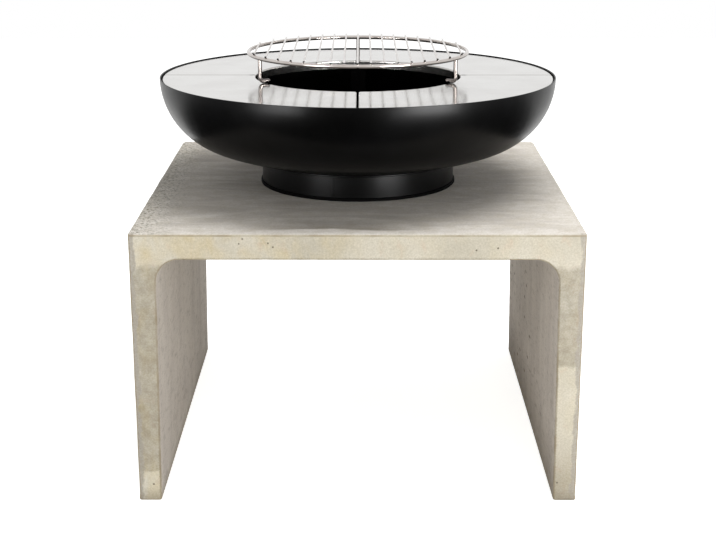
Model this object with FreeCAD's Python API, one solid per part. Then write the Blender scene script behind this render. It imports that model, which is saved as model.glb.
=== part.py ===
import FreeCAD, Part
import math
import os

from FreeCAD import Vector

# Sizes are in millimetres. The origin lies on the ground under the middle of the
# table, +X to the right, +Y to the back and +Z up.

# Concrete table: two walls and a slab, cast in one piece. The walls are thinner
# at the sole than under the slab, so that the casting leaves its mould.
table_width = 1030.0
table_depth = 1055.0
table_height = 650.0
wall_sole_thickness = 55.0
wall_top_thickness = 63.0
slab_thickness = 62.0
tunnel_corner_radius = 52.0
long_arris_radius = 6.5
end_arris_radius = 5.0

# Reinforcing steel inside the concrete
rebar_diameter = 8.0
rebar_cover = 18.0
rebar_end_cover = 30.0
rebar_bend_radius = 32.0
rebar_tie_gap = 1.0
hoop_count = 5
hoop_end_distance = 60.0
wall_bar_heights = (120.0, 300.0, 480.0)
slab_bar_spacing = 220.0
slab_bar_count = 4

# Fire bowl: a round shell of steel sheet
bowl_radius = 500.0
bowl_sheet = 3.0
bowl_shoulder_radius = 185.0
bowl_crown_radius = 1150.0
bowl_rim_above_table = 274.0
bowl_set_back = 24.0
rim_edge_radius = 0.8
drain_hole_diameter = 12.0

# Foot ring under the bowl and the rubber profile on its lower edge
foot_radius = 246.0
foot_sheet = 3.0
trim_side = 4.0
trim_base = 3.0
trim_height = 8.0
trim_edge_radius = 1.5

# Plancha plates: four pans that fill the mouth of the bowl
hole_radius = 260.0
plate_sheet = 3.0
plate_edge_depth = 22.0
plate_bend_radius = 4.0
plate_corner_radius = 7.0
plate_seam = 4.4
plate_below_rim = 2.5
plate_wall_clearance = 1.2

# Support arms inside the bowl, under the seams between the plates
arm_width = 40.0
arm_thickness = 5.0
arm_bend_radius = 9.0
arm_inner_set_back = 2.0

# Grate: a ring, bars laid on it and three bent legs
grate_ring_radius = 276.0
grate_ring_rod = 10.0
grate_ring_above_rim = 58.3
grate_bar_rod = 5.0
grate_bar_pitch = 31.9
grate_bar_count = 17
grate_bar_end_past_ring = 3.5
grate_weld_sink = 0.4
grate_leg_rod = 10.0
grate_leg_bend_radius = 9.0
grate_leg_foot_length = 27.0
grate_leg_angles = (90.0, 210.0, 330.0)
grate_seat_gap = 0.2

# Levels and radii that follow from the sizes above
bowl_axis_y = bowl_set_back
rim_z = table_height + bowl_rim_above_table
plate_top_z = rim_z - plate_below_rim
plate_bottom_z = plate_top_z - plate_edge_depth
grate_ring_z = rim_z + grate_ring_above_rim
up = Vector(0, 0, 1)


def crown_centre_z():
    """Height of the centre of the bowl's crown arc, which touches the shoulder arc."""
    centre_distance = bowl_crown_radius - bowl_shoulder_radius
    shoulder_centre_r = bowl_radius - bowl_shoulder_radius
    return rim_z + math.sqrt(centre_distance ** 2 - shoulder_centre_r ** 2)


def bowl_arc_points(inset):
    """Points in the XZ plane on the bowl's surface, this far inside its outer face."""
    shoulder_centre = Vector(bowl_radius - bowl_shoulder_radius, 0, rim_z)
    crown_centre = Vector(0, 0, crown_centre_z())
    outward = (shoulder_centre - crown_centre).normalize()
    lean = math.atan2(outward.z, outward.x)
    shoulder = bowl_shoulder_radius - inset
    crown = bowl_crown_radius - inset
    middle = Vector(math.cos(lean / 2), 0, math.sin(lean / 2))
    half_crown = (lean - math.pi / 2) / 2
    return {
        "rim": shoulder_centre + Vector(shoulder, 0, 0),
        "shoulder": shoulder_centre + middle * shoulder,
        "touch": crown_centre + outward * crown,
        "crown": crown_centre + Vector(math.cos(half_crown), 0, math.sin(half_crown)) * crown,
        "bottom": crown_centre - up * crown,
    }


def on_bowl_axis(shape):
    """Moves a shape made about the Z axis to the bowl's own axis."""
    shape.translate(Vector(0, bowl_axis_y, 0))
    return shape


def turned(face):
    """A solid of revolution about the Z axis from a face in the XZ plane."""
    return face.revolve(Vector(0, 0, 0), up, 360)


def bowl_core(inset):
    """The space inside the bowl's surface, filled, this far inside its outer face."""
    p = bowl_arc_points(inset)
    outline = Part.Wire([
        Part.Arc(p["rim"], p["shoulder"], p["touch"]).toShape(),
        Part.Arc(p["touch"], p["crown"], p["bottom"]).toShape(),
        Part.makeLine(p["bottom"], Vector(0, 0, rim_z)),
        Part.makeLine(Vector(0, 0, rim_z), p["rim"]),
    ])
    return turned(Part.Face(outline))


def rod_between(start, end, diameter):
    """A straight round rod from one point to another."""
    along = end - start
    return Part.makeCylinder(diameter / 2, along.Length, start, along)


def swept_rod(edges, diameter):
    """A round rod bent along straight runs and arcs that join smoothly."""
    path = Part.Wire(edges)
    start = edges[0].Vertexes[0].Point
    direction = edges[0].tangentAt(edges[0].FirstParameter)
    section = Part.Wire(Part.makeCircle(diameter / 2, start, direction))
    return path.makePipeShell([section], True, False)


def hoop_positions():
    """Places of the hoops along the depth of the table."""
    first = -table_depth / 2 + hoop_end_distance
    step = -2 * first / (hoop_count - 1)
    return [first + step * number for number in range(hoop_count)]


def rebar_hoop(y):
    """Upturned U of reinforcing bar that follows both walls and the slab."""
    x = table_width / 2 - rebar_cover - rebar_diameter / 2
    top = table_height - rebar_cover - rebar_diameter / 2
    bend = rebar_bend_radius
    slant = bend * math.sqrt(0.5)
    points = [
        Vector(-x, y, rebar_end_cover), Vector(-x, y, top - bend),
        Vector(-x + bend - slant, y, top - bend + slant), Vector(-x + bend, y, top),
        Vector(x - bend, y, top), Vector(x - bend + slant, y, top - bend + slant),
        Vector(x, y, top - bend), Vector(x, y, rebar_end_cover),
    ]
    edges = [
        Part.makeLine(points[0], points[1]),
        Part.Arc(points[1], points[2], points[3]).toShape(),
        Part.makeLine(points[3], points[4]),
        Part.Arc(points[4], points[5], points[6]).toShape(),
        Part.makeLine(points[6], points[7]),
    ]
    return swept_rod(edges, rebar_diameter)


def straight_bar_places():
    """Name, x and z of each straight reinforcing bar, just inside the hoops."""
    inward = rebar_cover + 1.5 * rebar_diameter + rebar_tie_gap
    x = table_width / 2 - inward
    places = []
    for number, z in enumerate(wall_bar_heights, 1):
        places.append((f"rebar_left_wall_{number}", -x, z))
        places.append((f"rebar_right_wall_{number}", x, z))
    for number in range(slab_bar_count):
        offset = (number - (slab_bar_count - 1) / 2) * slab_bar_spacing
        places.append((f"rebar_slab_{number + 1}", offset, table_height - inward))
    return places


def straight_rebar(x, z):
    """Straight reinforcing bar from the front to the back of the table."""
    y = table_depth / 2 - rebar_end_cover
    return rod_between(Vector(x, -y, z), Vector(x, y, z), rebar_diameter)


def rounded_corner(corner, before, after, radius):
    """Start, middle and end of the arc that rounds a corner."""
    back = (before - corner).normalize()
    ahead = (after - corner).normalize()
    half_angle = back.getAngle(ahead) / 2
    reach = radius / math.tan(half_angle)
    centre = corner + (back + ahead).normalize() * (radius / math.sin(half_angle))
    middle = centre + (corner - centre).normalize() * radius
    return corner + back * reach, middle, corner + ahead * reach


def table_outline():
    """Front view of the table: an upturned U with every corner rounded."""
    outer = table_width / 2
    sole = outer - wall_sole_thickness
    top = outer - wall_top_thickness
    ceiling = table_height - slab_thickness
    corners = [(-outer, 0), (-outer, table_height), (outer, table_height), (outer, 0),
               (sole, 0), (top, ceiling), (-top, ceiling), (-sole, 0)]
    points = [Vector(x, -table_depth / 2, z) for x, z in corners]
    arcs = []
    for number, corner in enumerate(points):
        under_slab = corner.z == ceiling
        radius = tunnel_corner_radius if under_slab else long_arris_radius
        following = points[(number + 1) % len(points)]
        arcs.append(rounded_corner(corner, points[number - 1], following, radius))
    edges = []
    for number, (start, middle, end) in enumerate(arcs):
        edges.append(Part.Arc(start, middle, end).toShape())
        edges.append(Part.makeLine(end, arcs[(number + 1) % len(arcs)][0]))
    return Part.Wire(edges)


def concrete_table(rebars):
    """The casting, with the steel's own space left out of it."""
    body = Part.Face(table_outline()).extrude(Vector(0, table_depth, 0))
    ends = [edge for edge in body.Edges
            if abs(edge.BoundBox.YLength) < end_arris_radius / 100]
    body = body.makeFillet(end_arris_radius, ends)
    return body.cut(rebars)


def fire_bowl():
    """Shell of sheet steel with a softened rim and a drain hole."""
    shell = bowl_core(0).cut(bowl_core(bowl_sheet))
    rim = [edge for edge in shell.Edges
           if edge.BoundBox.ZLength < bowl_sheet / 100 and edge.BoundBox.ZMin > plate_top_z]
    shell = shell.makeFillet(rim_edge_radius, rim)
    drain = Part.makeCylinder(drain_hole_diameter / 2, rim_z)
    return on_bowl_axis(shell.cut(drain))


def foot_ring():
    """Rolled cylinder whose upper edge is cut to the bowl that it is welded to."""
    low = table_height + trim_base
    height = rim_z - low
    outside = Part.makeCylinder(foot_radius, height, Vector(0, 0, low))
    inside = Part.makeCylinder(foot_radius - foot_sheet, height, Vector(0, 0, low))
    ring = outside.cut(inside).cut(bowl_core(0))
    under_bowl = min(ring.Solids, key=lambda solid: solid.BoundBox.ZMin)
    return on_bowl_axis(under_bowl)


def foot_edge_trim():
    """Rubber profile of U section pushed over the lower edge of the foot ring."""
    outer = foot_radius + trim_side
    inner = foot_radius - foot_sheet - trim_side
    block = Part.makeCylinder(outer, trim_height, Vector(0, 0, table_height))
    block = block.cut(Part.makeCylinder(inner, trim_height, Vector(0, 0, table_height)))
    block = block.makeFillet(trim_edge_radius, [
        edge for edge in block.Edges if edge.BoundBox.ZLength < trim_base / 100])
    slot_z = table_height + trim_base
    slot = Part.makeCylinder(foot_radius, trim_height, Vector(0, 0, slot_z))
    slot = slot.cut(Part.makeCylinder(foot_radius - foot_sheet, trim_height, Vector(0, 0, slot_z)))
    return on_bowl_axis(block.cut(slot))


def support_arm(angle):
    """Bent flat bar: a level run to the bowl's wall and a leg down to its floor."""
    inner = hole_radius + arm_inner_set_back
    half = arm_width / 2
    level = Part.makeBox(bowl_radius - inner, arm_width, rim_z - table_height,
                         Vector(inner, -half, table_height))
    level.translate(Vector(0, 0, plate_bottom_z - rim_z))
    level = level.makeFillet(arm_bend_radius, [
        edge for edge in level.Edges
        if edge.BoundBox.XMax < inner + arm_thickness
        and edge.BoundBox.ZMin > plate_bottom_z - arm_thickness])
    below = Part.makeBox(bowl_radius, arm_width, rim_z - table_height,
                         Vector(inner + arm_thickness, -half, table_height))
    below.translate(Vector(0, 0, plate_bottom_z - arm_thickness - rim_z))
    below = below.makeFillet(arm_bend_radius - arm_thickness, [
        edge for edge in below.Edges
        if edge.BoundBox.XMax < inner + 2 * arm_thickness
        and edge.BoundBox.ZMin > plate_bottom_z - 2 * arm_thickness])
    arm = level.cut(below).common(bowl_core(bowl_sheet))
    arm.rotate(Vector(0, 0, 0), up, angle)
    return on_bowl_axis(arm)


def plate_outer_radius():
    """Largest radius that a plate's turned-down edge can have inside the bowl's wall."""
    drop = plate_below_rim + plate_edge_depth
    wall = bowl_shoulder_radius - bowl_sheet
    wall_radius = bowl_radius - bowl_shoulder_radius + math.sqrt(wall ** 2 - drop ** 2)
    return wall_radius - plate_wall_clearance


def quarter_block(inset, depth_below_top):
    """Quarter of a thick ring with rounded upright corners and a rounded upper edge."""
    top = plate_top_z - inset
    bottom = plate_top_z - depth_below_top
    side = plate_seam / 2 + inset
    place = Vector(0, 0, bottom)
    ring = Part.makeCylinder(plate_outer_radius() - inset, top - bottom, place)
    ring = ring.cut(Part.makeCylinder(hole_radius + inset, top - bottom, place))
    reach = bowl_radius
    block = ring.common(Part.makeBox(reach, reach, top - bottom, Vector(side, side, bottom)))
    corners = [edge for edge in block.Edges
               if edge.BoundBox.ZLength > (top - bottom) / 2]
    block = block.makeFillet(plate_corner_radius - inset, corners)
    upper = [edge for edge in block.Edges
             if edge.BoundBox.ZMin > top - (top - bottom) / 100]
    return block.makeFillet(plate_bend_radius - inset, upper)


def plancha_plate(quarter):
    """Quarter-ring pan of stainless sheet with turned-down edges all round."""
    outside = quarter_block(0, plate_edge_depth)
    inside = quarter_block(plate_sheet, plate_edge_depth + plate_sheet)
    pan = outside.cut(inside)
    pan.rotate(Vector(0, 0, 0), up, 90 * quarter)
    return on_bowl_axis(pan)


def ring_solid():
    """Round rod bent to a ring, about the Z axis."""
    return Part.makeTorus(grate_ring_radius, grate_ring_rod / 2, Vector(0, 0, grate_ring_z), up)


def grate_ring():
    """The ring that carries the bars."""
    return on_bowl_axis(ring_solid())


def grate_bar(number):
    """Thin rod laid on the ring from front to back and welded to it at both ends."""
    x = (number - (grate_bar_count - 1) / 2) * grate_bar_pitch
    reach = math.sqrt((grate_ring_radius + grate_bar_end_past_ring) ** 2 - x ** 2)
    z = grate_ring_z + (grate_ring_rod + grate_bar_rod) / 2 - grate_weld_sink
    bar = rod_between(Vector(x, -reach, z), Vector(x, reach, z), grate_bar_rod)
    return on_bowl_axis(bar.cut(ring_solid()))


def grate_leg(angle):
    """Short rod, upright under the ring, bent inwards to a foot with a round tip."""
    bend = grate_leg_bend_radius
    slant = bend * math.sqrt(0.5)
    low = plate_top_z + grate_seat_gap + grate_leg_rod / 2
    r = grate_ring_radius
    tip = Vector(r - grate_leg_foot_length + grate_leg_rod / 2, 0, low)
    corner_in = Vector(r - bend, 0, low)
    corner_mid = Vector(r - bend + slant, 0, low + bend - slant)
    corner_out = Vector(r, 0, low + bend)
    edges = [
        Part.makeLine(tip, corner_in),
        Part.Arc(corner_in, corner_mid, corner_out).toShape(),
        Part.makeLine(corner_out, Vector(r, 0, grate_ring_z - grate_ring_rod / 4)),
    ]
    leg = swept_rod(edges, grate_leg_rod)
    leg = leg.fuse(Part.makeSphere(grate_leg_rod / 2, tip)).removeSplitter()
    leg = leg.cut(ring_solid())
    leg.rotate(Vector(0, 0, 0), up, angle)
    return on_bowl_axis(leg)


def all_pieces():
    """Every piece of the fire pit table under its own name."""
    pieces = {}
    for number, y in enumerate(hoop_positions(), 1):
        pieces[f"rebar_hoop_{number}"] = rebar_hoop(y)
    for name, x, z in straight_bar_places():
        pieces[name] = straight_rebar(x, z)
    pieces["concrete_table"] = concrete_table(list(pieces.values()))
    pieces["fire_bowl"] = fire_bowl()
    pieces["foot_ring"] = foot_ring()
    pieces["foot_edge_trim"] = foot_edge_trim()
    for side, angle in (("right", 0), ("back", 90), ("left", 180), ("front", 270)):
        pieces[f"support_arm_{side}"] = support_arm(angle)
    quarters = ("back_right", "back_left", "front_left", "front_right")
    for quarter, place in enumerate(quarters):
        pieces[f"plancha_plate_{place}"] = plancha_plate(quarter)
    pieces["grate_ring"] = grate_ring()
    for number in range(grate_bar_count):
        pieces[f"grate_bar_{number + 1:02d}"] = grate_bar(number)
    for number, angle in enumerate(grate_leg_angles, 1):
        pieces[f"grate_leg_{number}"] = grate_leg(angle)
    return pieces


os.makedirs("parts", exist_ok=True)
for name, shape in all_pieces().items():
    shape.exportStep(f"parts/{name}.step")
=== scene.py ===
import math

import bmesh
import bpy
from mathutils import Matrix, Vector, noise


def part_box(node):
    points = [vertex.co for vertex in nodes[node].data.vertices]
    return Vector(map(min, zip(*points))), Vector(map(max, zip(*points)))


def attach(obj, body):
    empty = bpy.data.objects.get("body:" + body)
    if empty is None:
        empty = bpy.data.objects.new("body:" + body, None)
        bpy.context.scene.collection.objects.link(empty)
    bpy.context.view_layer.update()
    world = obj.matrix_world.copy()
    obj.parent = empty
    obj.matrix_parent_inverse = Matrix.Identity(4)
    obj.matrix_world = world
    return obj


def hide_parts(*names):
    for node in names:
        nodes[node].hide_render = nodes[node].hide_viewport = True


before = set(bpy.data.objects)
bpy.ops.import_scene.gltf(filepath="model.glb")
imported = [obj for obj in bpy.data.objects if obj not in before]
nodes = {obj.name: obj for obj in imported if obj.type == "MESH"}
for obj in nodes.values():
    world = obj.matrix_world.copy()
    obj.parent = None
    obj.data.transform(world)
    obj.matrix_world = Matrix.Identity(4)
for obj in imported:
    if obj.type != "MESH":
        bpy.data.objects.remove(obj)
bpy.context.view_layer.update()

# Camera
# It stands three metres in front of the table and a little above the grate, with a long lens, so that
# the mouth of the bowl shows as a flat ellipse and the insides of both walls can be seen.
camera_data = bpy.data.cameras.new("camera")
camera_data.sensor_width = 36
camera_data.lens = 71.54
camera = bpy.data.objects.new("camera", camera_data)
camera.location = (0.00668, -3.59017, 1.46871)
camera.rotation_euler = (math.radians(73.584), 0, math.radians(0.0996))
bpy.context.scene.collection.objects.link(camera)
bpy.context.scene.camera = camera
bpy.context.scene.view_settings.view_transform = "Standard"

# Concrete table
# Two walls and a slab, cast in one piece upside down in a smooth form. The arrises were rubbed by
# hand, so they waver, and air that was caught against the form left small round holes.


def mm(length):
    """Millimetres as metres."""
    return length / 1000


table_low, table_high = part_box("concrete_table")
half_width = table_high.x
front_y = table_low.y
wall_sole_thickness = mm(55)
wall_top_thickness = mm(63)
slab_thickness = mm(62)
slab_under = table_high.z - slab_thickness
draft = math.atan2(wall_top_thickness - wall_sole_thickness, slab_under)
tunnel_corner_radius = mm(52)
long_arris_radius = mm(6.5)
end_arris_radius = mm(5)
bowl_axis = Vector((0, mm(24), 0))
footprint_radius = mm(245)

# Wear of the cast faces: its depths, how far it reaches from an arris or an upright corner, and how
# many waves, nicks or rubs there are to a metre.
long_wave_depth, long_waves = mm(0.3), 5
short_wave_depth, short_waves = mm(0.15), 19
nick_depth, nicks_per_metre, shallowest_nick = mm(3.2), 46, 0.08
arris_rub_depth, arris_rubs, arris_reach = mm(1.0), 7, mm(6.6)
corner_rub_depth, corner_rubs, corner_reach = mm(2.6), 9, mm(12.6)
away_from_nicks = Vector((3, 1, 7))


def step(low, high, value):
    """0 below low, 1 above high, and a soft step between."""
    share = min(1, max(0, (value - low) / (high - low)))
    return share * share * (3 - 2 * share)


def tunnel_half(z):
    """Half the width between the walls, which draw in towards the slab."""
    return half_width - wall_sole_thickness - z * math.tan(draft)


def depth_in_outline(x, z):
    """How far a point of an end face lies inside the table's outline."""
    across = tunnel_half(z) - tunnel_corner_radius - abs(x)
    down = slab_under - tunnel_corner_radius - z
    if across < 0 and down < 0:
        inner = math.hypot(across, down) - tunnel_corner_radius
    else:
        inner = max(abs(x) - tunnel_half(z), z - slab_under)
    return max(0, min(half_width - abs(x), table_high.z - z, inner))


def end_distance(point):
    """How far a point of the casting lies from the nearer end face."""
    return min(point.y - table_low.y, table_high.y - point.y)


def arris_distance(point):
    """How far a point of the casting lies from its nearest arris."""
    from_side = half_width - abs(point.x)
    from_top = table_high.z - point.z
    return min(
        max(end_distance(point), depth_in_outline(point.x, point.z)), max(from_side, from_top)
    )


def wear_depth(point):
    """How far the cast face lies behind the true one: slow waves everywhere, and nicks and rubbing
    near the arrises. The sole, and the round line that the foot stands on, stay true."""
    near = 1 - step(0, arris_reach, arris_distance(point))
    wave = long_wave_depth * (1 + noise.noise(point * long_waves))
    wave += short_wave_depth * (1 + noise.noise(point * short_waves))
    wave *= max(step(0, mm(2), end_distance(point)), near)
    nicks = nick_depth * near * max(0, noise.noise(point * nicks_per_metre) - shallowest_nick)
    rub = noise.noise(point * arris_rubs + away_from_nicks)
    rubbed = arris_rub_depth * near * step(-0.3, 0.5, rub)
    corner = 1 - step(0, corner_reach, max(end_distance(point), half_width - abs(point.x)))
    corner_rub = 1 + 0.5 * noise.noise(point * corner_rubs)
    rubbed = max(rubbed, corner_rub_depth * corner * corner_rub)
    from_foot = abs((point - bowl_axis).to_2d().length - footprint_radius)
    on_top = step(mm(-12), mm(-6), point.z - table_high.z)
    clear_of_foot = 1 - on_top * (1 - step(mm(10), mm(50), from_foot))
    clear_of_sole = step(0, mm(12), point.z)
    return (wave + nicks + rubbed) * clear_of_foot * clear_of_sole


casting = bmesh.new()
corners = [
    (-half_width, 0), (-half_width, table_high.z), (half_width, table_high.z), (half_width, 0),
    (tunnel_half(0), 0), (tunnel_half(slab_under), slab_under),
    (-tunnel_half(slab_under), slab_under), (-tunnel_half(0), 0),
]
outline = casting.faces.new([
    casting.verts.new((x, table_low.y + end_arris_radius, z)) for x, z in corners
])
inner = [v for v in outline.verts if abs(v.co.z - slab_under) < mm(1)]
outer = [v for v in outline.verts if v not in inner]
tunnel_reach = tunnel_corner_radius * math.tan((math.pi / 2 - draft) / 2)
for verts, reach, segments in ((outer, long_arris_radius, 5), (inner, tunnel_reach, 16)):
    bmesh.ops.bevel(
        casting, geom=verts, offset=reach, segments=segments, profile=0.5, affect="VERTICES",
        offset_type="OFFSET", material=-1, clamp_overlap=False,
    )
mesh_step = mm(6)
rows_between_ends = 88
for edge in list(casting.edges):
    cuts = int(edge.calc_length() / mesh_step)
    if cuts > 1:
        bmesh.ops.subdivide_edges(casting, edges=[edge], cuts=cuts)
front = list(casting.faces)
grown = bmesh.ops.extrude_face_region(casting, geom=front)["geom"]
length = table_high.y - table_low.y - 2 * end_arris_radius
bmesh.ops.translate(
    casting, verts=[g for g in grown if isinstance(g, bmesh.types.BMVert)], vec=(0, length, 0)
)
lengthways = [e for e in casting.edges if e.calc_length() > 0.9 * length]
bmesh.ops.subdivide_edges(casting, edges=lengthways, cuts=rows_between_ends)
bmesh.ops.recalc_face_normals(casting, faces=casting.faces)

# The arris of each end face is rounded in three turns of 30 degrees. A narrow strip follows inside it,
# and is wider beside the outer corners, where the rubbing reaches further in.
ends = [f for f in casting.faces if len(f.verts) > 4]
for turn in (30, 60, 90):
    before, after = (math.radians(turn - 30), math.radians(turn))
    bmesh.ops.inset_region(
        casting, faces=ends, use_even_offset=True,
        thickness=end_arris_radius * (math.cos(before) - math.cos(after)),
        depth=end_arris_radius * (math.sin(after) - math.sin(before)),
    )
strip_width = mm(1.4)
strip_widening = mm(6.2)
bmesh.ops.inset_region(casting, faces=ends, use_even_offset=True, thickness=strip_width, depth=0)
for vert in {v for f in ends for v in f.verts if half_width - abs(v.co.x) < mm(8)}:
    clear = step(mm(10), mm(30), vert.co.z) * step(mm(10), mm(30), table_high.z - vert.co.z)
    vert.co.x -= math.copysign(strip_widening * clear, vert.co.x)

# The material reads three things from the mesh: how far the nearest arris is, how much a face looks
# up, and whether it is the inner face of a wall.
casting.normal_update()
arris_layer = casting.verts.layers.float.new("arris")
upward_layer = casting.verts.layers.float.new("upward")
inside_layer = casting.verts.layers.float.new("inside")
for vert in casting.verts:
    vert[arris_layer] = arris_distance(vert.co)
    vert[upward_layer] = step(0.3, 0.9, vert.normal.z)
    vert[inside_layer] = step(0.3, 0.9, -vert.normal.x * math.copysign(1, vert.co.x))
moved = [(vert, vert.co - vert.normal * wear_depth(vert.co)) for vert in casting.verts]
for vert, place in moved:
    vert.co = place


def object_of(name, shape, material):
    """Makes a finished bmesh into an object of one material."""
    mesh = bpy.data.meshes.new(name)
    shape.to_mesh(mesh)
    shape.free()
    mesh.materials.append(material)
    made = bpy.data.objects.new(name, mesh)
    bpy.context.scene.collection.objects.link(made)
    return made


def piece_of(name, shape, material, body):
    """Makes a closed bmesh into a smoothly shaded piece that rides on a body."""
    bmesh.ops.recalc_face_normals(shape, faces=shape.faces)
    for face in shape.faces:
        face.smooth = True
    piece = object_of(name, shape, material)
    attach(piece, body)
    return piece


def linear(hex_colour):
    """A colour from its sRGB hex value."""
    parts = [int(hex_colour[n:n + 2], 16) / 255 for n in (0, 2, 4)]
    return tuple(p / 12.92 if p <= 0.04045 else ((p + 0.055) / 1.055) ** 2.4 for p in parts) + (1,)


def new_material(name, **values):
    """A material and its shader, with the shader's own values."""
    material = bpy.data.materials.new(name)
    material.use_nodes = True
    shader = material.node_tree.nodes["Principled BSDF"]
    for socket, value in values.items():
        shader.inputs[socket.replace("_", " ")].default_value = value
    return material, shader


def add(material, kind, inputs=None, stops=None, **settings):
    """Adds a node with its settings, what goes into its inputs and the stops of its ramp. An input is
    named or numbered: a MapRange takes the range from 1 to 2 and gives the range from 3 to 4."""
    node = material.node_tree.nodes.new("ShaderNode" + kind)
    for name, value in settings.items():
        setattr(node, name, value)
    for socket, value in (inputs or {}).items():
        if isinstance(value, bpy.types.Node):
            value = value.outputs[0]
        if isinstance(value, bpy.types.NodeSocket):
            material.node_tree.links.new(value, node.inputs[socket])
        else:
            node.inputs[socket].default_value = value
    if stops:
        ramp = node.color_ramp
        ramp.elements.remove(ramp.elements[1])
        ramp.elements[0].position = stops[0][0]
        ramp.elements[0].color = linear(stops[0][1])
        for position, colour in stops[1:]:
            ramp.elements.new(position).color = linear(colour)
    return node


def surface(material, shader, colour, dullness, relief):
    """Gives a shader its colour, its roughness and a relief in metres."""
    bump = add(material, "Bump", {"Height": relief, "Distance": 1.0})
    for node, socket in ((colour, "Base Color"), (dullness, "Roughness"), (bump, "Normal")):
        material.node_tree.links.new(node.outputs[0], shader.inputs[socket])


# Fair-faced concrete: cement paste against a smooth form. It is dull and almost even, with slow clouds
# of beige and grey, fine sand grain, a darker line of painted shade on the arrises, and small round air
# holes. Ochre clouds are strongest on the left, and the top and the inner faces of the walls are greyer.
concrete, shader = new_material("fair_faced_concrete", Specular_IOR_Level=0.3)
place = add(concrete, "TexCoord").outputs["Object"]
across, back, up = add(concrete, "SeparateXYZ", {"Vector": place}).outputs
clouds = add(concrete, "TexNoise", {"Vector": place, "Scale": 1 / mm(190), "Detail": 6.0, "Distortion": 0.3})
colour = add(concrete, "ValToRGB", {"Fac": clouds}, stops=[
    (0.34, "C6BFAE"), (0.46, "D1CAB9"), (0.56, "D8D1C1"), (0.68, "DDD8CA"),
])
offset = add(concrete, "Mapping", {"Vector": place, "Location": (3.1, 7.7, 1.3), "Scale": (1.0, 1.0, 0.55)})
ochre = add(concrete, "TexNoise", {"Vector": offset, "Scale": 1 / mm(52), "Detail": 6.0, "Distortion": 0.5})
ochre = add(concrete, "MapRange", {"Value": ochre, 1: 0.44, 2: 0.7, 3: 0.0, 4: 0.55})
leftwards = add(concrete, "MapRange", {"Value": across, 1: mm(-250), 2: mm(150), 3: 1.0, 4: 0.3})
ochre = add(concrete, "Math", {0: ochre, 1: leftwards}, operation="MULTIPLY")
end_from, end_to = table_high.y - mm(15.5), table_high.y - mm(1.5)
end_face = add(concrete, "Math", {0: back}, operation="ABSOLUTE")
end_face = add(concrete, "MapRange", {"Value": end_face, 1: end_from, 2: end_to, 3: 0.25, 4: 1.0})
ochre = add(concrete, "Math", {0: ochre, 1: end_face}, operation="MULTIPLY")
colour = add(concrete, "MixRGB", {"Fac": ochre, "Color1": colour, "Color2": linear("D2C092")})
streaks = add(concrete, "Mapping", {"Vector": place, "Location": (1.9, 0.4, 5.2), "Scale": (1.0, 1.0, 0.6)})
rust = add(concrete, "TexNoise", {"Vector": streaks, "Scale": 1 / mm(26), "Detail": 3.0, "Distortion": 0.8})
rust = add(concrete, "MapRange", {"Value": rust, 1: 0.6, 2: 0.78, 3: 0.0, 4: 0.3})
upward = add(concrete, "Attribute", attribute_name="upward").outputs["Fac"]
sideways = add(concrete, "Math", {0: 1.0, 1: upward}, operation="SUBTRACT")
rust = add(concrete, "Math", {0: rust, 1: sideways}, operation="MULTIPLY")
colour = add(concrete, "MixRGB", {"Fac": rust, "Color1": colour, "Color2": linear("D2B195")})
grey_top = add(concrete, "Math", {0: upward, 1: 0.75}, operation="MULTIPLY")
colour = add(concrete, "MixRGB", {"Fac": grey_top, "Color1": colour, "Color2": linear("DAD6D3")})
inside = add(concrete, "Attribute", attribute_name="inside").outputs["Fac"]
grey_inside = add(concrete, "Math", {0: inside, 1: 0.75}, operation="MULTIPLY")
colour = add(concrete, "MixRGB", {"Fac": grey_inside, "Color1": colour, "Color2": linear("D3CBC6")})

# Inside, the form was oiled by brush, and the oil ran: faint darker streaks go down the walls. Small
# shallow pocks lie between them.
runs = add(concrete, "Mapping", {"Vector": place, "Scale": (1.0, 1.0, 0.22)})
runs = add(concrete, "TexNoise", {"Vector": runs, "Scale": 1 / mm(70), "Detail": 7.0, "Roughness": 0.6})
runs = add(concrete, "MapRange", {"Value": runs, 1: 0.42, 2: 0.68, 3: 0.0, 4: 0.5})
runs = add(concrete, "Math", {0: runs, 1: inside}, operation="MULTIPLY")
colour = add(concrete, "MixRGB", {"Fac": runs, "Color1": colour, "Color2": linear("B3A9A3")})
pulled = add(concrete, "Mapping", {"Vector": place, "Scale": (1.0, 0.3, 1.0)})
pocks = add(concrete, "TexNoise", {"Vector": pulled, "Scale": 1 / mm(13), "Detail": 5.0, "Roughness": 0.7})
pocks = add(concrete, "MapRange", {"Value": pocks, 1: 0.52, 2: 0.7, 3: 0.0, 4: 0.5})
pocks = add(concrete, "Math", {0: pocks, 1: inside}, operation="MULTIPLY")
colour = add(concrete, "MixRGB", {"Fac": pocks, "Color1": colour, "Color2": linear("8C8379")})

# The top was wiped while it was wet, which left broad smears of grey from left to right. The smears
# are kept off its edges, so the middle of the top under the bowl is darker: painted shade of the bowl.
wiped = add(concrete, "Mapping", {"Vector": place, "Scale": (0.34, 1.0, 1.0)})
smears_and_shade = add(concrete, "TexNoise", {"Vector": wiped, "Scale": 1 / mm(90), "Detail": 3.5, "Distortion": 1.6})
smears_and_shade = add(concrete, "MapRange", {"Value": smears_and_shade, 1: 0.38, 2: 0.62, 3: 0.1, 4: 0.95})
arris = add(concrete, "Attribute", attribute_name="arris").outputs["Fac"]
shade_away_from_edge = add(concrete, "MapRange", {"Value": arris, 1: mm(12), 2: mm(75), 3: 0.15, 4: 1.0})
smears_and_shade = add(concrete, "Math", {0: smears_and_shade, 1: shade_away_from_edge}, operation="MULTIPLY")
smears_and_shade = add(concrete, "Math", {0: smears_and_shade, 1: upward}, operation="MULTIPLY")
colour = add(concrete, "MixRGB", {"Fac": smears_and_shade, "Color1": colour, "Color2": linear("BCB6AF")})
patches = add(concrete, "TexNoise", {"Vector": place, "Scale": 1 / mm(34), "Detail": 6.0, "Roughness": 0.65})
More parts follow.
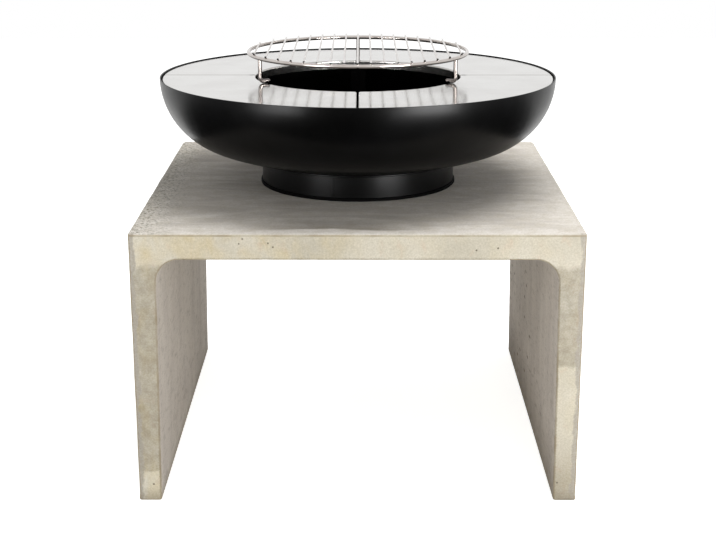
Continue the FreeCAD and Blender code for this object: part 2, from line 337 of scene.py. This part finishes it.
patches = add(concrete, "MapRange", {"Value": patches, 1: 0.44, 2: 0.62, 3: 0.0, 4: 0.6})
patches = add(concrete, "Math", {0: patches, 1: upward}, operation="MULTIPLY")
colour = add(concrete, "MixRGB", {"Fac": patches, "Color1": colour, "Color2": linear("C3BCB0")})

# Painted shadow of the bowl on the top: a dark strip from 40 mm behind the front arris, sharp at the
# front and faint at the back. The strip is shorter than the table is wide, and its middle lies a little
# left.
sharp_from, sharp_to = front_y + mm(36.5), front_y + mm(43.5)
faint_from, faint_to = front_y + mm(47.5), front_y + mm(177.5)
shadow_middle = mm(-40)
uneven = add(concrete, "TexNoise", {"Vector": wiped, "Scale": 1 / mm(60), "Detail": 5.0})
uneven = add(concrete, "MapRange", {"Value": uneven, 1: 0.3, 2: 0.7, 3: mm(-9), 4: mm(9)})
shadow_line = add(concrete, "Math", {0: back, 1: uneven}, operation="ADD")
edge = add(concrete, "MapRange", {"Value": shadow_line, 1: sharp_from, 2: sharp_to, 3: 0.0, 4: 1.0})
bowl_shadow = add(concrete, "MapRange", {"Value": shadow_line, 1: faint_from, 2: faint_to, 3: 1.0, 4: 0.0})
off_centre = add(concrete, "Math", {0: across, 1: shadow_middle}, operation="SUBTRACT")
off_centre = add(concrete, "Math", {0: off_centre}, operation="ABSOLUTE")
fading = add(concrete, "MapRange", {"Value": off_centre, 1: mm(70), 2: mm(240), 3: 1.0, 4: 0.0})
for share in (edge, fading, upward):
    bowl_shadow = add(concrete, "Math", {0: bowl_shadow, 1: share}, operation="MULTIPLY")
shadowed = {"Fac": bowl_shadow, "Color1": colour, "Color2": linear("B4B2AE")}
colour = add(concrete, "MixRGB", shadowed, blend_type="MULTIPLY")

# Dark grime has settled in the pores beside the left edge of the top.
grime_from, grime_to = mm(15) - half_width, mm(115) - half_width
pores = add(concrete, "TexNoise", {"Vector": place, "Scale": 1 / mm(7), "Detail": 4.0, "Roughness": 0.7})
pores = add(concrete, "MapRange", {"Value": pores, 1: 0.5, 2: 0.58, 3: 0.0, 4: 1.0})
beside = add(concrete, "MapRange", {"Value": across, 1: grime_from, 2: grime_to, 3: 0.9, 4: 0.0})
pores = add(concrete, "Math", {0: pores, 1: beside}, operation="MULTIPLY")
pores = add(concrete, "Math", {0: pores, 1: upward}, operation="MULTIPLY")
colour = add(concrete, "MixRGB", {"Fac": pores, "Color1": colour, "Color2": linear("747060")})

# The walls took up damp and darkened between the joint under the slab and a tide line, which lies
# higher on the right wall than on the left. The ground splashed the foot of the right wall.
left_tide, right_tide = mm(75), mm(335)
joint_from, joint_to = slab_under - mm(23), slab_under - mm(8)
ragged = add(concrete, "TexNoise", {"Vector": place, "Scale": 1 / mm(30), "Detail": 3.0})
ragged = add(concrete, "MapRange", {"Value": ragged, 1: 0.3, 2: 0.7, 3: mm(-6), 4: mm(6)})
height = add(concrete, "Math", {0: up, 1: ragged})
tide = add(concrete, "MapRange", {"Value": across, 1: mm(-200), 2: mm(200), 3: left_tide, 4: right_tide})
above = add(concrete, "Math", {0: height, 1: tide}, operation="SUBTRACT")
above = add(concrete, "MapRange", {"Value": above, 1: mm(-4), 2: mm(4), 3: 0.0, 4: 1.0})
below = add(concrete, "MapRange", {"Value": height, 1: joint_from, 2: joint_to, 3: 1.0, 4: 0.0})
on_ends = add(concrete, "MapRange", {"Value": end_face, 1: 0.25, 2: 1.0, 3: 0.3, 4: 1.0})
outside = add(concrete, "Math", {0: 1.0, 1: inside}, operation="SUBTRACT")
mottle = add(concrete, "TexNoise", {"Vector": place, "Scale": 1 / mm(18), "Detail": 5.0, "Roughness": 0.6})
mottle = add(concrete, "MapRange", {"Value": mottle, 1: 0.35, 2: 0.65, 3: 0.62, 4: 1.0})
damp = above
for share in (below, on_ends, outside, mottle):
    damp = add(concrete, "Math", {0: damp, 1: share}, operation="MULTIPLY")
rightwards = add(concrete, "MapRange", {"Value": across, 1: mm(200), 2: mm(400), 3: 0.0, 4: 0.9})
splashed = add(concrete, "MapRange", {"Value": height, 1: mm(30), 2: mm(170), 3: 1.0, 4: 0.0})
splashed = add(concrete, "Math", {0: splashed, 1: rightwards}, operation="MULTIPLY")
damp = add(concrete, "Math", {0: damp, 1: splashed}, operation="MAXIMUM")
darkened = {"Fac": damp, "Color1": colour, "Color2": linear("CDCAC5")}
colour = add(concrete, "MixRGB", darkened, blend_type="MULTIPLY")

# Painted shade: a grey band down both outer arrises of the end faces, where their wide rounding turns
# from the light. Dirt rose from the ground.
arris_band_from, arris_band_to = half_width - mm(16), half_width - mm(12)
from_middle = add(concrete, "Math", {0: across}, operation="ABSOLUTE")
arris_band_shade = add(concrete, "Math", {0: from_middle, 1: ragged}, operation="ADD")
arris_band_shade = add(concrete, "MapRange", {"Value": arris_band_shade, 1: arris_band_from, 2: arris_band_to, 3: 0.0, 4: 0.8})
arris_band_shade = add(concrete, "Math", {0: arris_band_shade, 1: end_face}, operation="MULTIPLY")
colour = add(concrete, "MixRGB", {"Fac": arris_band_shade, "Color1": colour, "Color2": linear("ABA49A")})
dirt = add(concrete, "MapRange", {"Value": height, 1: mm(3), 2: mm(34), 3: 0.5, 4: 0.0})
colour = add(concrete, "MixRGB", {"Fac": dirt, "Color1": colour, "Color2": linear("8E8472")})

# Sand of 1 to 2 mm shows through the skin. It is drawn at 4 mm, which is as fine as the render shows.
sand = add(concrete, "TexNoise", {"Vector": place, "Scale": 1 / mm(4), "Detail": 3.0, "Roughness": 0.7})
grain = add(concrete, "ValToRGB", {"Fac": sand}, stops=[(0.3, "E4E2DC"), (0.7, "FFFFFF")])
colour = add(concrete, "MixRGB", {"Fac": 1.0, "Color1": colour, "Color2": grain}, blend_type="MULTIPLY")

# Painted shade: a fine brown line follows the arrises, where their rounding turns from the light. It is
# broken, and wavers with the sand. It also runs just under the top edge of the end faces, but not on the
# top.
brow_from, brow_to = table_high.z - mm(6.2), table_high.z - mm(4.2)
spared_from, spared_to = table_high.z - mm(3.8), table_high.z - mm(1.8)
broken = add(concrete, "TexNoise", {"Vector": place, "Scale": 1 / mm(45), "Detail": 6.0})
broken = add(concrete, "MapRange", {"Value": broken, 1: 0.35, 2: 0.65, 3: 0.45, 4: 1.0})
wavering = add(concrete, "Math", {0: sand, 1: mm(3.5), 2: arris}, operation="MULTIPLY_ADD")
shade_line = add(concrete, "MapRange", {"Value": wavering, 1: mm(5.4), 2: mm(7.4), 3: 0.85, 4: 0.0})
brow = add(concrete, "Math", {0: sand, 1: mm(3), 2: up}, operation="MULTIPLY_ADD")
brow = add(concrete, "MapRange", {"Value": brow, 1: brow_from, 2: brow_to, 3: 0.0, 4: 0.8})
brow = add(concrete, "Math", {0: brow, 1: end_face}, operation="MULTIPLY")
shade_line = add(concrete, "Math", {0: shade_line, 1: brow}, operation="MAXIMUM")
shade_line = add(concrete, "Math", {0: shade_line, 1: broken}, operation="MULTIPLY")
under_top = add(concrete, "MapRange", {"Value": up, 1: spared_from, 2: spared_to, 3: 1.0, 4: 0.0})
shade_line = add(concrete, "Math", {0: shade_line, 1: under_top}, operation="MULTIPLY")
colour = add(concrete, "MixRGB", {"Fac": shade_line, "Color1": colour, "Color2": linear("8F8166")})

# Air holes: small ones in the middle of some cells of a 24 mm pattern, of which few reach a surface,
# clusters of larger ones inside the walls, and single ones, placed in metres, where they can be seen.
cells = add(concrete, "TexVoronoi", {"Vector": place, "Scale": 1 / mm(24)})
chosen = add(concrete, "SeparateColor", {"Color": cells.outputs["Color"]})
sparse = add(concrete, "MapRange", {"Value": inside, 1: 0.0, 2: 1.0, 3: 0.86, 4: 0.6})
chosen = add(concrete, "Math", {0: chosen, 1: sparse}, operation="GREATER_THAN")
hole = add(concrete, "MapRange", {"Value": cells.outputs["Distance"], 1: 0.025, 2: 0.055, 3: 0.8, 4: 0.0})
holes = add(concrete, "Math", {0: chosen, 1: hole}, operation="MULTIPLY")
pits = add(concrete, "TexVoronoi", {"Vector": pulled, "Scale": 1 / mm(22)})
pit = add(concrete, "MapRange", {"Value": pits.outputs["Distance"], 1: 0.12, 2: 0.22, 3: 0.9, 4: 0.0})
cluster = add(concrete, "TexNoise", {"Vector": offset, "Scale": 1 / mm(110), "Detail": 1.0})
cluster = add(concrete, "MapRange", {"Value": cluster, 1: 0.46, 2: 0.54, 3: 0.0, 4: 1.0})
kept = add(concrete, "SeparateColor", {"Color": pits.outputs["Color"]})
kept = add(concrete, "Math", {0: kept, 1: 0.66}, operation="GREATER_THAN")
further_in = add(concrete, "MapRange", {"Value": back, 1: mm(-250), 2: mm(-50), 3: 0.0, 4: 1.0})
for share in (kept, cluster, further_in, inside):
    pit = add(concrete, "Math", {0: pit, 1: share}, operation="MULTIPLY")
holes = add(concrete, "Math", {0: holes, 1: pit}, operation="MAXIMUM")
single_hole_middles = (
    (-0.265, front_y, 0.627), (-0.257, front_y, 0.638), (-0.2, front_y, 0.628), (-0.189, front_y, 0.619),
    (0.266, front_y, 0.612), (0.314, front_y, 0.617), (0.468, front_y, 0.046), (-0.478, front_y, 0.042),
    (-tunnel_half(0.316), -0.073, 0.316), (-tunnel_half(0.228), 0.194, 0.228),
    (tunnel_half(0.247), 0.257, 0.247), (tunnel_half(0.212), 0.182, 0.212),
    (tunnel_half(0.249), 0.142, 0.249), (tunnel_half(0.045), 0.007, 0.045),
)
for middle in single_hole_middles:
    away = add(concrete, "VectorMath", {0: place, 1: middle}, operation="DISTANCE").outputs["Value"]
    mouth = add(concrete, "MapRange", {"Value": away, 1: mm(1.2), 2: mm(2.8), 3: 0.9, 4: 0.0})
    holes = add(concrete, "Math", {0: holes, 1: mouth}, operation="MAXIMUM")
colour = add(concrete, "MixRGB", {"Fac": holes, "Color1": colour, "Color2": linear("6E6452")})

dullness = add(concrete, "MapRange", {"Value": clouds, 1: 0.3, 2: 0.7, 3: 0.72, 4: 0.9})
skin = add(concrete, "TexNoise", {"Vector": place, "Scale": 1 / mm(14), "Detail": 4.0})
relief = add(concrete, "Math", {0: sand, 1: mm(0.22)}, operation="MULTIPLY")
relief = add(concrete, "Math", {0: skin, 1: mm(0.7), 2: relief}, operation="MULTIPLY_ADD")
relief = add(concrete, "Math", {0: holes, 1: mm(-1.5), 2: relief}, operation="MULTIPLY_ADD")
surface(concrete, shader, colour, dullness, relief)

table = piece_of("concrete_casting", casting, concrete, "table")
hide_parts("concrete_table")

# Reinforcing bars
# Round steel bars of 8 mm, bent into hoops and tied to straight bars inside the concrete before it
# was poured. They were rolled hot, so they carry dark scale with rust where it has flaked.
bar_steel, shader = new_material("hot_rolled_bar", Specular_IOR_Level=0.4)
place = add(bar_steel, "TexCoord").outputs["Object"]
flakes = add(bar_steel, "TexNoise", {"Vector": place, "Scale": 1 / mm(9), "Detail": 5.0, "Distortion": 0.5})
colour = add(bar_steel, "ValToRGB", {"Fac": flakes}, stops=[
    (0.4, "3B3C40"), (0.52, "4A3A31"), (0.64, "7A4A2C"),
])
bare = add(bar_steel, "MapRange", {"Value": flakes, 1: 0.42, 2: 0.58, 3: 0.8, 4: 0.0})
bar_steel.node_tree.links.new(bare.outputs[0], shader.inputs["Metallic"])
dullness = add(bar_steel, "MapRange", {"Value": flakes, 1: 0.4, 2: 0.6, 3: 0.45, 4: 0.85})
relief = add(bar_steel, "Math", {0: flakes, 1: mm(0.5)}, operation="MULTIPLY")
surface(bar_steel, shader, colour, dullness, relief)


def finish_nodes(material, *starts):
    """Gives a material to the CAD nodes whose names start in one of these ways."""
    for name, node in nodes.items():
        if name.startswith(starts):
            node.data.materials.clear()
            node.data.materials.append(material)


finish_nodes(bar_steel, "rebar_")

# Edge trim of the foot
# A black rubber channel pushed on to the lower edge of the foot, so that steel doesn't stand on
# concrete. It was extruded, which leaves it matt with a faint grain, drawn at 2 mm so that it shows.
rubber, shader = new_material("extruded_rubber", Specular_IOR_Level=0.02)
place = add(rubber, "TexCoord").outputs["Object"]
dust = add(rubber, "TexNoise", {"Vector": place, "Scale": 1 / mm(11), "Detail": 4.0})
colour = add(rubber, "ValToRGB", {"Fac": dust}, stops=[(0.4, "040404"), (0.7, "080808")])
dullness = add(rubber, "MapRange", {"Value": dust, 1: 0.3, 2: 0.7, 3: 0.6, 4: 0.8})
fine = add(rubber, "TexNoise", {"Vector": place, "Scale": 1 / mm(2), "Detail": 2.0})
relief = add(rubber, "Math", {0: fine, 1: mm(0.15)}, operation="MULTIPLY")
surface(rubber, shader, colour, dullness, relief)
finish_nodes(rubber, "foot_edge_trim")

# Fire bowl, its foot and the arms inside it
# A dished and spun bowl of 3 mm steel with a rolled foot ring and four bent arms welded to it. All of
# it carries the same heat-proof stove paint.

# Satin black stove paint: sprayed and baked. It is almost black with a soft sheen that spreads wide,
# and the spray leaves a faint orange peel, drawn at 3 mm so that it shows.
paint, shader = new_material("satin_stove_paint", Specular_IOR_Level=0.11)
place = add(paint, "TexCoord").outputs["Object"]
film = add(paint, "TexNoise", {"Vector": place, "Scale": 1 / mm(120), "Detail": 4.0})
colour = add(paint, "ValToRGB", {"Fac": film}, stops=[(0.35, "040404"), (0.65, "080809")])
dullness = add(paint, "MapRange", {"Value": film, 1: 0.3, 2: 0.7, 3: 0.28, 4: 0.34})
peel = add(paint, "TexNoise", {"Vector": place, "Scale": 1 / mm(3), "Detail": 2.0})
relief = add(paint, "Math", {0: peel, 1: mm(0.015)}, operation="MULTIPLY")
surface(paint, shader, colour, dullness, relief)
finish_nodes(paint, "fire_bowl", "foot_ring")

# Sooted paint: the arms stand in the smoke, so the same paint has gone quite dull.
sooted, shader = new_material("sooted_stove_paint", Specular_IOR_Level=0.02)
place = add(sooted, "TexCoord").outputs["Object"]
darkening = add(sooted, "TexNoise", {"Vector": place, "Scale": 1 / mm(25), "Detail": 4.0})
colour = add(sooted, "ValToRGB", {"Fac": darkening}, stops=[(0.35, "030303"), (0.65, "070606")])
dullness = add(sooted, "MapRange", {"Value": darkening, 1: 0.3, 2: 0.7, 3: 0.75, 4: 0.95})
relief = add(sooted, "Math", {0: darkening, 1: mm(0.2)}, operation="MULTIPLY")
surface(sooted, shader, colour, dullness, relief)
finish_nodes(sooted, "support_arm")

# Welds of the foot
# A bead runs round the joint between the foot ring and the bowl, and one seam closes the ring itself.
# Both were dressed lightly before the paint went on, so they show as low ripples under it.
ring_low, ring_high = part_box("foot_ring")
foot_radius = ring_high.x
bead_z = ring_high.z - mm(1.2)
bead_radius = mm(2.6)
bead_ripples = 210
ripple_share = 0.14
uneven_share = 0.1
bead = bmesh.new()
bmesh.ops.create_circle(
    bead, segments=10, radius=bead_radius,
    matrix=Matrix.Translation(bowl_axis + Vector((foot_radius, 0, bead_z)))
    @ Matrix.Rotation(math.radians(90), 4, "X"),
)
bmesh.ops.spin(
    bead, geom=list(bead.edges), cent=bowl_axis, axis=(0, 0, 1), angle=math.radians(360),
    steps=2 * bead_ripples, use_merge=True,
)
for vert in bead.verts:
    flat = vert.co - bowl_axis
    centre = bowl_axis + Vector((flat.x, flat.y, 0)).normalized() * foot_radius
    centre.z = bead_z
    ripple = ripple_share * math.sin(math.atan2(flat.y, flat.x) * bead_ripples)
    swell = 1 + ripple + uneven_share * noise.noise(vert.co * 60)
    vert.co = centre + (vert.co - centre) * swell
piece = piece_of("foot_bead", bead, paint, "bowl")

seam_turn = math.radians(-104)
seam_width = mm(7)
seam_proud = mm(1.5)
seam_sunk = mm(0.1)
seam_foot = ring_low.z + mm(8)
seam_height = ring_high.z - ring_low.z - mm(9)
seam = bmesh.new()
bmesh.ops.create_cone(
    seam, cap_ends=True, segments=14, radius1=0.5, radius2=0.5, depth=1,
    matrix=Matrix.Translation((0, 0, seam_foot + seam_height / 2))
    @ Matrix.Diagonal((seam_width, seam_proud, seam_height, 1)),
)
upright = [e for e in seam.edges if abs(e.verts[0].co.z - e.verts[1].co.z) > seam_height / 2]
bmesh.ops.subdivide_edges(seam, edges=upright, cuts=24)
for vert in seam.verts:
    turn = seam_turn + vert.co.x / foot_radius
    proud = vert.co.y * (1 + 0.3 * noise.noise(vert.co * 90))
    reach = foot_radius - proud - seam_sunk
    vert.co = bowl_axis + Vector((reach * math.cos(turn), reach * math.sin(turn), vert.co.z))
piece = piece_of("foot_seam", seam, paint, "bowl")

# Plancha plates
# Four quarters of a ring, folded down at the rim, the hole and both sides. They lie on the arms, and
# food is cooked on them.
hole_radius = mm(260)

# Brushed and polished stainless steel sheet: it mirrors softly, and the last fine grit left lines
# across the sheet that only just break the mirror. They are a tenth of a millimetre apart, and drawn
# 1.5 mm apart so that they show. The fold at the hole is duller than the flat.
plancha, shader = new_material("brushed_stainless_sheet", Metallic=1.0)
place = add(plancha, "TexCoord").outputs["Object"]
lines = add(plancha, "Mapping", {"Vector": place, "Scale": (0.03, 1.0, 1.0)})
grit = add(plancha, "TexNoise", {"Vector": lines, "Scale": 1 / mm(1.5), "Detail": 3.0, "Roughness": 0.6})
handling = add(plancha, "TexNoise", {"Vector": place, "Scale": 1 / mm(90), "Detail": 4.0})
colour = add(plancha, "ValToRGB", {"Fac": handling}, stops=[(0.35, "C7C5C2"), (0.65, "D0CFCC")])
dullness = add(plancha, "MapRange", {"Value": grit, 1: 0.3, 2: 0.7, 3: 0.11, 4: 0.17})
from_axis = add(plancha, "VectorMath", {0: place, 1: bowl_axis}, operation="SUBTRACT")
from_axis = add(plancha, "VectorMath", {0: from_axis, 1: (1.0, 1.0, 0.0)}, operation="MULTIPLY")
from_axis = add(plancha, "VectorMath", {0: from_axis}, operation="LENGTH").outputs["Value"]
fold_from, fold_to = hole_radius + mm(0.4), hole_radius + mm(1.5)
fold = add(plancha, "MapRange", {"Value": from_axis, 1: fold_from, 2: fold_to, 3: 0.2, 4: 0.0})
dullness = add(plancha, "Math", {0: dullness, 1: fold}, operation="MAXIMUM")
waviness = add(plancha, "TexNoise", {"Vector": place, "Scale": 1 / mm(140), "Detail": 1.0})
relief = add(plancha, "Math", {0: waviness, 1: mm(0.35)}, operation="MULTIPLY")
relief = add(plancha, "Math", {0: grit, 1: mm(0.004), 2: relief}, operation="MULTIPLY_ADD")
surface(plancha, shader, colour, dullness, relief)
finish_nodes(plancha, "plancha_plate")

# Grate
# A ring, bars and bent legs of round stainless rod, welded together and lifted off by hand. It stands
# on the plates, with its feet reaching over the hole.
grate_ring_low, grate_ring_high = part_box("grate_ring")
ring_z = (grate_ring_low.z + grate_ring_high.z) / 2

# Polished stainless rod: drawn, ground and buffed. It mirrors clearly, so each rod has a bright middle
# and dark edges, and the grinding leaves it faintly uneven. Below the middle of the ring the rods are
# painted darker, a painted dark reflection on the underside of the ring.
rod, shader = new_material("polished_stainless_rod", Metallic=1.0)
place = add(rod, "TexCoord").outputs["Object"]
tint = add(rod, "TexNoise", {"Vector": place, "Scale": 1 / mm(40), "Detail": 3.0})
colour = add(rod, "ValToRGB", {"Fac": tint}, stops=[(0.35, "BDB5B0"), (0.65, "CBC5C0")])
height = add(rod, "SeparateXYZ", {"Vector": place}).outputs["Z"]
dark_from, dark_to = ring_z - mm(2.2), ring_z + mm(0.6)
darkening = add(rod, "MapRange", {"Value": height, 1: dark_from, 2: dark_to, 3: 0.85, 4: 0.0})
colour = add(rod, "MixRGB", {"Fac": darkening, "Color1": colour, "Color2": linear("4A4440")})
ground = add(rod, "TexNoise", {"Vector": place, "Scale": 1 / mm(3), "Detail": 3.0})
dullness = add(rod, "MapRange", {"Value": ground, 1: 0.3, 2: 0.7, 3: 0.08, 4: 0.16})
relief = add(rod, "Math", {0: ground, 1: mm(0.006)}, operation="MULTIPLY")
surface(rod, shader, colour, dullness, relief)
finish_nodes(rod, "grate_ring", "grate_bar")

# Heat-tinted stainless rod: the legs stand nearest the flames, so the same steel has turned brownish
# grey and lost some of its polish. Its colour is darker than the heat tint alone: painted shade that
# holds down the bright reflections on the legs.
tinted_and_shaded, shader = new_material("heat_tinted_shaded_rod", Metallic=1.0)
place = add(tinted_and_shaded, "TexCoord").outputs["Object"]
heat = add(tinted_and_shaded, "TexNoise", {"Vector": place, "Scale": 1 / mm(22), "Detail": 3.0})
colour = add(tinted_and_shaded, "ValToRGB", {"Fac": heat}, stops=[(0.35, "6E6865"), (0.65, "827B77")])
dullness = add(tinted_and_shaded, "MapRange", {"Value": heat, 1: 0.3, 2: 0.7, 3: 0.12, 4: 0.2})
relief = add(tinted_and_shaded, "Math", {0: heat, 1: mm(0.02)}, operation="MULTIPLY")
surface(tinted_and_shaded, shader, colour, dullness, relief)
finish_nodes(tinted_and_shaded, "grate_leg")

# Welds of the grate
# Each bar is tacked to the ring at both ends, and every tack has melted into a small smooth bead
# between the two rods.
ring_rod = grate_ring_high.z - grate_ring_low.z
ring_line = grate_ring_high.x - ring_rod / 2
tack_z = grate_ring_high.z - mm(0.4)
tack_radius = mm(2.7)
tack_stretch = (1.35, 1.2, 0.62, 1)
tacks = bmesh.new()
for name in sorted(n for n in nodes if n.startswith("grate_bar_")):
    bar_low, bar_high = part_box(name)
    bar_x = (bar_low.x + bar_high.x) / 2
    reach = math.sqrt(ring_line ** 2 - bar_x ** 2)
    for way in (-1, 1):
        where = Vector((bar_x, bowl_axis.y + way * reach, tack_z))
        bmesh.ops.create_icosphere(
            tacks, subdivisions=2, radius=tack_radius,
            matrix=Matrix.Translation(where) @ Matrix.Diagonal(tack_stretch),
        )
piece = piece_of("grate_tacks", tacks, rod, "grate")

# Floor
# A wide matt white sheet, which keeps the shadow of the table. The camera, mirrors and glass see it
# glow, so that it is white behind the table whatever the lamps do.
floor_reach = 8
floor_glow = 0.75
white_sheet, shader = new_material("white_sheet", Roughness=0.9, Specular_IOR_Level=0.1)
shader.inputs["Base Color"].default_value = linear("F0F0EE")


def seen_or_mirrored(material):
    """1 for a ray from the camera, a mirror or glass, and 0 for one that only carries light."""
    ray = add(material, "LightPath").outputs
    seen = add(
        material, "Math", {0: ray["Is Camera Ray"], 1: ray["Is Glossy Ray"]}, operation="MAXIMUM"
    )
    return add(material, "Math", {0: seen, 1: ray["Is Transmission Ray"]}, operation="MAXIMUM")


strength = add(white_sheet, "Math", {0: seen_or_mirrored(white_sheet), 1: floor_glow}, operation="MULTIPLY")
white = add(white_sheet, "Emission", {"Color": linear("FFFFFF"), "Strength": strength})
mixed = add(white_sheet, "AddShader", {0: shader.outputs["BSDF"], 1: white})
output = white_sheet.node_tree.nodes["Material Output"]
white_sheet.node_tree.links.new(mixed.outputs[0], output.inputs["Surface"])
sheet = bmesh.new()
bmesh.ops.create_grid(
    sheet, x_segments=1, y_segments=1, size=floor_reach,
    matrix=Matrix.Translation((0, 0, mm(-0.2))),
)
floor = object_of("floor", sheet, white_sheet)

# Dark cloth
# It lies on the floor round the table and turns up in front of it, no higher than the plates, which
# mirror the white room above it. Only polished and painted faces see it: it keeps the bowl black and
# draws the dark edges of the rods.
black_cloth, shader = new_material("black_cloth", Roughness=0.95, Specular_IOR_Level=0.0)
shader.inputs["Base Color"].default_value = linear("1E1D1D")
half_cloth = 5
cloth_back_y = 1.2
forward_on_floor = (0, -5.9, 0)
up_in_a_bend = (0, -0.2, 0.3)
straight_up = (0, 0, 0.5)
spread = bmesh.new()
back_ends = [spread.verts.new((x, cloth_back_y, mm(2))) for x in (-half_cloth, half_cloth)]
hem = [spread.edges.new(back_ends)]
for move in (forward_on_floor, up_in_a_bend, straight_up):
    grown = bmesh.ops.extrude_edge_only(spread, edges=hem)["geom"]
    hem_ends = [g for g in grown if isinstance(g, bmesh.types.BMVert)]
    bmesh.ops.translate(spread, verts=hem_ends, vec=move)
    edges = [g for g in grown if isinstance(g, bmesh.types.BMEdge)]
    hem = [e for e in edges if all(v in hem_ends for v in e.verts)]


def only_mirrored(thing):
    """Leaves a thing out of all but reflections."""
    thing.visible_camera = False
    thing.visible_diffuse = False
    thing.visible_shadow = False


cloth = object_of("dark_cloth", spread, black_cloth)
only_mirrored(cloth)

# Light
# A white room that gives an even fill, one large soft box above, and two standing ones in front of the
# table, the right one stronger. Two cards draw the soft lights on the bowl and its foot.
room_fill = 0.58
world = bpy.data.worlds.new("white_room")
bpy.context.scene.world = world
world.use_nodes = True
background = world.node_tree.nodes["Background"]
background.inputs["Color"].default_value = linear("FFFFFF")
level = add(world, "MapRange", {"Value": seen_or_mirrored(world), 1: 0.0, 2: 1.0, 3: room_fill, 4: 1.0})
world.node_tree.links.new(level.outputs[0], background.inputs["Strength"])


def soft_box(name, where, towards, width, height, power):
    """A rectangular lamp that faces a point and isn't mirrored itself."""
    lamp = bpy.data.lights.new(name, "AREA")
    lamp.shape = "RECTANGLE"
    lamp.size = width
    lamp.size_y = height
    lamp.energy = power
    holder = bpy.data.objects.new(name, lamp)
    holder.location = where
    holder.rotation_euler = (Vector(towards) - Vector(where)).to_track_quat("-Z", "Y").to_euler()
    holder.visible_glossy = False
    bpy.context.scene.collection.objects.link(holder)


soft_box("soft_box_above", (0.5, 0.0, 2.9), (0, 0, 0.8), width=1.7, height=1.7, power=56)
soft_box("soft_box_right", (1.85, -1.75, 0.8), (0, 0, 0.5), width=1.0, height=1.5, power=22)
soft_box("soft_box_left", (-1.85, -1.65, 0.8), (0, 0, 0.5), width=1.0, height=1.5, power=12)

card_distance = 1.9
card_height = 0.8
card_middle_z = 0.82


def mirrored_card(name, azimuth, width, strength):
    """A glowing card in front of the table, which only shows in mirrors and paint."""
    shape = bmesh.new()
    turn = Matrix.Rotation(math.radians(azimuth), 4, "Z")
    place = turn @ Matrix.Translation((0, -card_distance, card_middle_z))
    upright = Matrix.Rotation(math.radians(90), 4, "X")
    bmesh.ops.create_grid(
        shape, x_segments=1, y_segments=1, size=0.5,
        matrix=place @ upright @ Matrix.Diagonal((width, card_height, 1, 1)),
    )
    glow, shader = new_material(name, Roughness=1.0, Emission_Strength=strength)
    shader.inputs["Emission Color"].default_value = linear("FFFFFF")
    card = object_of(name, shape, glow)
    only_mirrored(card)


mirrored_card("card_right", azimuth=36, width=0.9, strength=31.0)
mirrored_card("card_left", azimuth=-39, width=0.7, strength=17.5)
